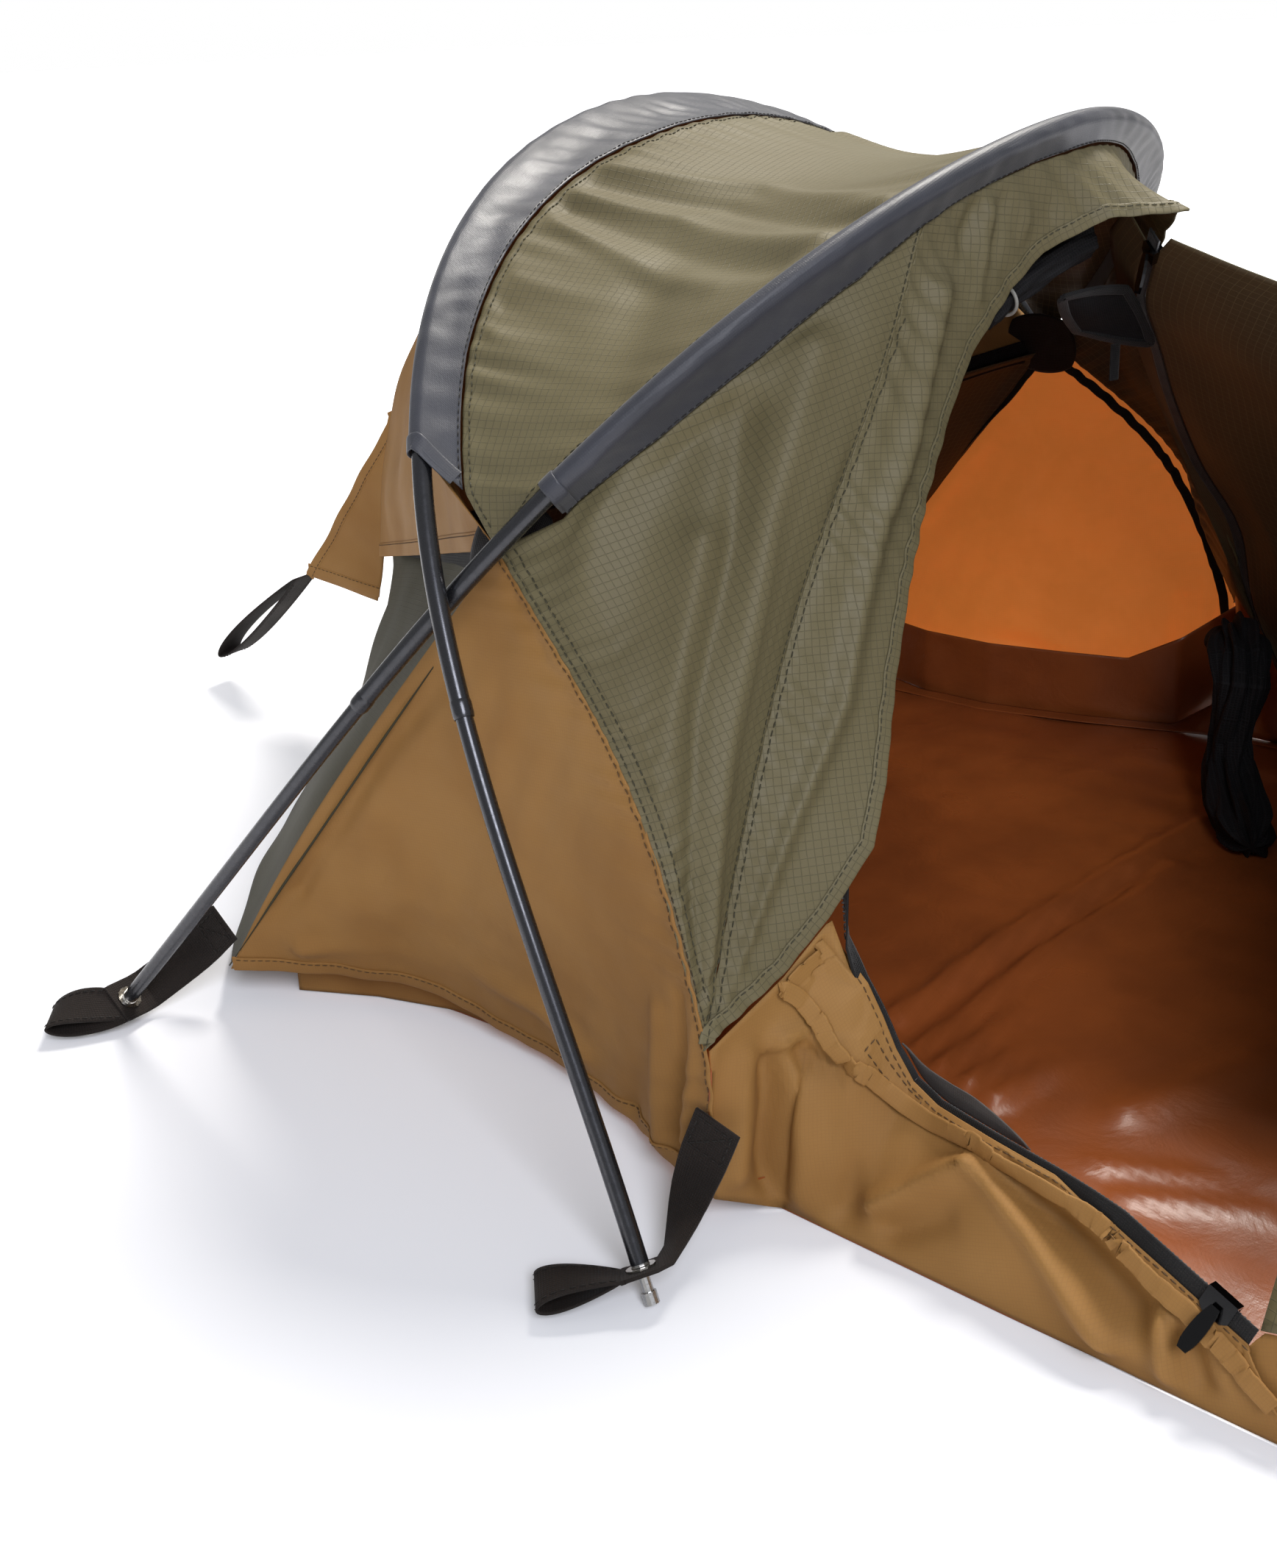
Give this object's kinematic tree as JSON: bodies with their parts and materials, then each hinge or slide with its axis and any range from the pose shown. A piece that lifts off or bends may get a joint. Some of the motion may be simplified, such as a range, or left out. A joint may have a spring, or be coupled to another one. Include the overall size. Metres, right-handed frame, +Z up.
{
  "type": "bivvy tent",
  "caption": "One-person bivvy tent with two crossed pole hoops at the head, an open side door in an olive cover, tan side panels and floor, and webbing peg loops.",
  "frame": {"origin": "on the ground under the middle of the tent's bounding box", "axes": "+Y from the foot to the head, +Z up, -X the side with the open door"},
  "size_m": [0.9278, 2.4192, 0.503],
  "materials": {
    "olive_ripstop": "coated ripstop nylon with a soft sheen and fine folds",
    "tan_cloth": "coated plain-weave nylon, glossy inside",
    "sleeve_cloth": "dark blue-grey woven nylon",
    "black_webbing": "ribbed black-brown webbing",
    "black_net": "fine black insect netting",
    "black_tape": "black woven zip tape",
    "elastic_cord": "braided elastic cord",
    "pole_aluminium": "glossy dark grey anodised tube",
    "bright_metal": "bright nickel plating"
  },
  "bodies": {
    "tent": {"rear_pole_near_foot_section": "pole_aluminium", "rear_pole_far_foot_section": "pole_aluminium", "rear_pole_near_arch_section": "pole_aluminium", "rear_pole_far_arch_section": "pole_aluminium", "rear_pole_top_arch_section": "pole_aluminium", "front_pole_near_foot_section": "pole_aluminium", "front_pole_far_foot_section": "pole_aluminium", "front_pole_near_arch_section": "pole_aluminium", "front_pole_far_arch_section": "pole_aluminium", "front_pole_top_arch_section": "pole_aluminium", "rear_pole_shock_cord": "elastic_cord", "front_pole_shock_cord": "elastic_cord", "net_tie_loop": "elastic_cord", "rear_near_pole_tip": "bright_metal", "rear_near_grommet": "bright_metal", "rear_far_pole_tip": "bright_metal", "rear_far_grommet": "bright_metal", "front_near_pole_tip": "bright_metal", "front_near_grommet": "bright_metal", "front_far_pole_tip": "bright_metal", "front_far_grommet": "bright_metal", "rear_near_webbing_tab": "black_webbing", "rear_far_webbing_tab": "black_webbing", "front_near_webbing_tab": "black_webbing", "front_far_webbing_tab": "black_webbing", "rear_pole_sleeve": "sleeve_cloth", "front_pole_sleeve": "sleeve_cloth", "roof_panel": "olive_ripstop", "near_front_fly": "olive_ripstop", "far_front_fly": "olive_ripstop", "front_hood": "olive_ripstop", "head_panel": "olive_ripstop", "near_cover": "olive_ripstop", "far_cover": "olive_ripstop", "near_side_panel": "tan_cloth", "far_side_panel": "tan_cloth", "vent_hood": "tan_cloth", "guy_fin": "tan_cloth", "floor": "tan_cloth", "near_tub_side": "tan_cloth", "far_tub_side": "tan_cloth", "foot_end": "tan_cloth", "storm_flap": "tan_cloth", "near_zip_tape": "black_tape", "far_zip_tape": "black_tape", "net_zip_pull": "black_tape", "net_roll": "black_net", "net_bundle": "black_net", "net_panel": "black_net"},
    "door": {"door_flap": "olive_ripstop"},
    "near_slider": {"near_zip_slider": "bright_metal"},
    "near_pull": {"near_zip_pull": "black_tape"},
    "far_slider": {"far_zip_slider": "bright_metal"},
    "far_pull": {"far_zip_pull": "black_tape"},
    "rear_near_loop": {"rear_near_peg_loop": "black_webbing"},
    "rear_far_loop": {"rear_far_peg_loop": "black_webbing"},
    "front_near_loop": {"front_near_peg_loop": "black_webbing"},
    "front_far_loop": {"front_far_peg_loop": "black_webbing"},
    "head_loop": {"head_peg_loop": "black_webbing"},
    "foot_loop": {"foot_peg_loop": "black_webbing"}
  },
  "joints": [
    {"name": "door_hinge", "type": "hinge", "parent": "tent", "child": "door", "pos_m": [0, 0.3684, 0.4244], "axis": [0, -0.943, -0.3329], "range_deg": [0, 260.9], "deforming": ["door_flap"]},
    {"name": "near_zip_slide", "type": "slide", "parent": "tent", "child": "near_slider", "axis": [0.2278, 0.9292, 0.2909], "range_m": [0, 0.03]},
    {"name": "near_pull_hinge", "type": "hinge", "parent": "near_slider", "child": "near_pull", "pos_m": [-0.3358, 0.2009, 0.04501], "axis": [0.2278, 0.9292, 0.2909], "range_deg": [-10, 120]},
    {"name": "far_zip_slide", "type": "slide", "parent": "tent", "child": "far_slider", "axis": [0.7382, 0.3656, -0.5669], "range_m": [0, 0.03]},
    {"name": "far_pull_hinge", "type": "hinge", "parent": "far_slider", "child": "far_pull", "pos_m": [0.0147, 0.38729, 0.4138], "axis": [0.7204, 0.6936, 0], "range_deg": [-10, 95]},
    {"name": "rear_near_loop_hinge", "type": "hinge", "parent": "tent", "child": "rear_near_loop", "pos_m": [-0.42797, 0.43478, 0.0129], "axis": [0.7065, 0.5339, -0.4645], "range_deg": [-10, 75]},
    {"name": "rear_far_loop_hinge", "type": "hinge", "parent": "tent", "child": "rear_far_loop", "pos_m": [0.42797, 0.43478, 0.0129], "axis": [0.7065, -0.5339, 0.4645], "range_deg": [-10, 75]},
    {"name": "front_near_loop_hinge", "type": "hinge", "parent": "tent", "child": "front_near_loop", "pos_m": [-0.41723, 0.81606, 0.01676], "axis": [0.7431, 0.6691, 0], "range_deg": [-10, 75]},
    {"name": "front_far_loop_hinge", "type": "hinge", "parent": "tent", "child": "front_far_loop", "pos_m": [0.41723, 0.81606, 0.01676], "axis": [0.7431, -0.6691, 0], "range_deg": [-10, 75]},
    {"name": "head_loop_hinge", "type": "hinge", "parent": "tent", "child": "head_loop", "pos_m": [0, 1.09299, 0.11901], "axis": [1, 0, 0], "range_deg": [-30, 75]},
    {"name": "foot_loop_hinge", "type": "hinge", "parent": "tent", "child": "foot_loop", "pos_m": [0, -1.1525, 0.0135], "axis": [-1, 0, 0], "range_deg": [-5, 75]}
  ]
}
